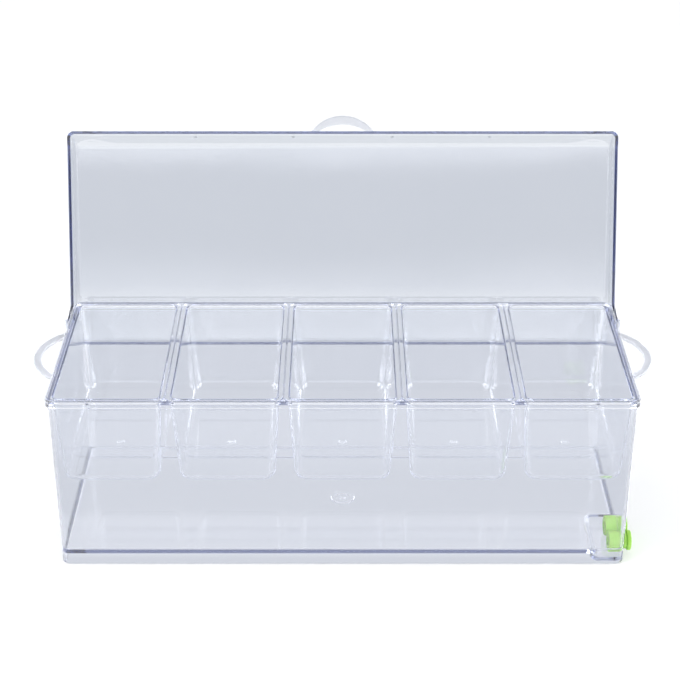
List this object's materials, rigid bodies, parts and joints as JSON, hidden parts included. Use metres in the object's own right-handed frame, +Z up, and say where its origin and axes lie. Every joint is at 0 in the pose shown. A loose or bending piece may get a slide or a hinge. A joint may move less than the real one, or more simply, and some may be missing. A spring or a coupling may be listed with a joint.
{
  "type": "bar garnish tray",
  "caption": "Clear ice tub with lift-out garnish bins hung in its rim, a hinged domed lid standing open, end loops and green drain plugs.",
  "frame": {"origin": "on the table, under the centre of the tub", "axes": "+X along the tray to the right, +Y to the hinge side at the back, +Z up"},
  "size_m": [0.425, 0.2068, 0.2551],
  "materials": {
    "clear_tub": "clear polished plastic",
    "clear_lid": "clear polished plastic",
    "clear_bin": "clear polished plastic",
    "clear_pin": "clear polished plastic",
    "green_silicone": "satin silicone",
    "green_plug": "satin silicone"
  },
  "bodies": {
    "tub": {"tub": "clear_tub", "hinge_pin_left": "clear_pin", "hinge_pin_right": "clear_pin", "drain_bush_front": "green_silicone", "drain_bush_rear": "green_silicone"},
    "lid": {"lid": "clear_lid"},
    "garnish_bin_1": {"garnish_bin_1": "clear_bin"},
    "garnish_bin_2": {"garnish_bin_2": "clear_bin"},
    "garnish_bin_3": {"garnish_bin_3": "clear_bin"},
    "garnish_bin_4": {"garnish_bin_4": "clear_bin"},
    "garnish_bin_5": {"garnish_bin_5": "clear_bin"},
    "drain_plug_front": {"drain_plug_front": "green_plug"},
    "drain_plug_rear": {"drain_plug_rear": "green_plug"}
  },
  "joints": [
    {"name": "lid_hinge", "type": "hinge", "parent": "tub", "child": "lid", "pos_m": [0, 0.062, 0.1173], "axis": [-1, 0, 0], "range_deg": [-110, 0]},
    {"name": "garnish_bin_1_lift", "type": "slide", "parent": "tub", "child": "garnish_bin_1", "axis": [0, 0, 1], "range_m": [0, 0.09]},
    {"name": "garnish_bin_2_lift", "type": "slide", "parent": "tub", "child": "garnish_bin_2", "axis": [0, 0, 1], "range_m": [0, 0.09]},
    {"name": "garnish_bin_3_lift", "type": "slide", "parent": "tub", "child": "garnish_bin_3", "axis": [0, 0, 1], "range_m": [0, 0.09]},
    {"name": "garnish_bin_4_lift", "type": "slide", "parent": "tub", "child": "garnish_bin_4", "axis": [0, 0, 1], "range_m": [0, 0.09]},
    {"name": "garnish_bin_5_lift", "type": "slide", "parent": "tub", "child": "garnish_bin_5", "axis": [0, 0, 1], "range_m": [0, 0.09]},
    {"name": "drain_plug_front_pull", "type": "slide", "parent": "tub", "child": "drain_plug_front", "axis": [1, 0, 0], "range_m": [0, 0.02]},
    {"name": "drain_plug_rear_pull", "type": "slide", "parent": "tub", "child": "drain_plug_rear", "axis": [1, 0, 0], "range_m": [0, 0.02]}
  ]
}
